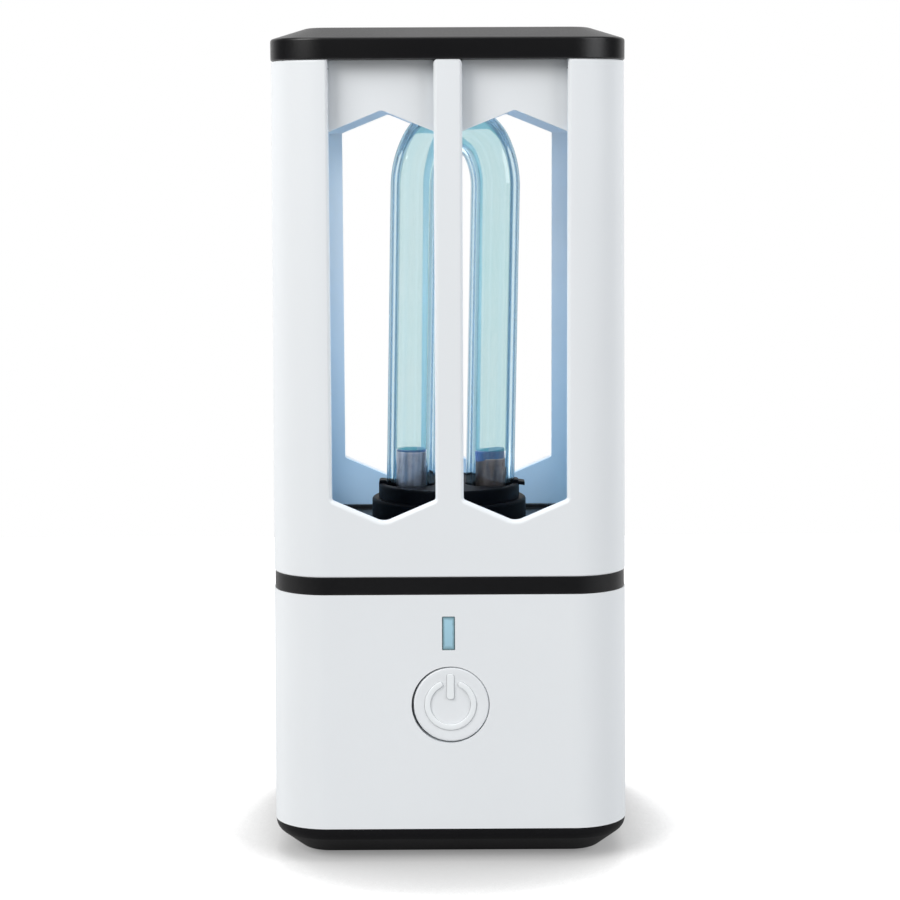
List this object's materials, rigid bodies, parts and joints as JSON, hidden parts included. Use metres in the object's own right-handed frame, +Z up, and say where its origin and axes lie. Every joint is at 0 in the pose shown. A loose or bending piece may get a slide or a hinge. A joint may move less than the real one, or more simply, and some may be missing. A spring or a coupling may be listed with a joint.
{
  "type": "portable uv sterilizer lamp",
  "caption": "Rounded square column lamp: a window cage round a U-shaped tube over a battery housing with a round power button, status light and chamfered cap and foot.",
  "frame": {"origin": "on the ground under the middle of the column, where the rubber feet stand", "axes": "+Z up along the column; the front with the power button and the status light faces -Y; the charging socket faces +Y; +X to the right seen from the front"},
  "size_m": [0.0586, 0.0586, 0.1356],
  "materials": {
    "white_plastic": "satin",
    "black_plastic": "satin",
    "rubber": "matte",
    "lamp_glass": "clear",
    "status_window": "satin",
    "symbol_plastic": "satin",
    "steel": "bright",
    "nickel": "satin",
    "circuit_board": "satin",
    "battery_foil": "satin",
    "foam": "matte",
    "ferrite": "matte",
    "copper": "bright",
    "yellow_plastic": "satin",
    "blue_sleeve": "satin",
    "chip_black": "matte",
    "red_wire": "satin",
    "cream_plastic": "satin"
  },
  "bodies": {
    "column": {"base_cover": "black_plastic", "rubber_foot_1": "rubber", "rubber_foot_2": "rubber", "rubber_foot_3": "rubber", "rubber_foot_4": "rubber", "base_screw_1": "steel", "base_screw_2": "steel", "base_screw_3": "steel", "base_screw_4": "steel", "lower_housing": "white_plastic", "battery_tray": "cream_plastic", "battery_foam_pad": "foam", "battery_pack": "battery_foil", "driver_board": "circuit_board", "board_screw_1": "steel", "board_screw_2": "steel", "board_screw_3": "steel", "board_screw_4": "steel", "transformer_core": "ferrite", "transformer_coil": "copper", "film_capacitor": "yellow_plastic", "power_transistor": "chip_black", "charge_chip": "chip_black", "filter_capacitor": "blue_sleeve", "battery_connector": "cream_plastic", "battery_lead_red": "red_wire", "battery_lead_black": "chip_black", "board_ribbon": "cream_plastic", "charge_socket_shell": "steel", "charge_socket_tongue": "chip_black", "control_board": "circuit_board", "control_chip": "chip_black", "switch_body": "chip_black", "status_led": "cream_plastic", "indicator_lens": "status_window", "deck": "black_plastic", "deck_screw_1": "steel", "deck_screw_2": "steel", "deck_screw_3": "steel", "deck_screw_4": "steel", "lamp_socket": "black_plastic", "lamp_holder": "black_plastic", "socket_screw_1": "steel", "socket_screw_2": "steel", "uv_lamp_tube": "lamp_glass", "electrode_left": "nickel", "electrode_right": "nickel", "lamp_lead_left": "cream_plastic", "lamp_lead_right": "cream_plastic", "lamp_cage": "white_plastic", "header_frame": "white_plastic", "cap_screw_1": "steel", "cap_screw_2": "steel", "cap_screw_3": "steel", "cap_screw_4": "steel", "top_cap": "black_plastic"},
    "button": {"power_button": "white_plastic", "power_symbol": "symbol_plastic", "switch_plunger": "chip_black"}
  },
  "joints": [
    {"name": "power_button_press", "type": "slide", "parent": "column", "child": "button", "axis": [0, 1, 0], "range_m": [0, 0.0005], "stiffness_N_per_m": 200, "springref_m": -0.004}
  ]
}
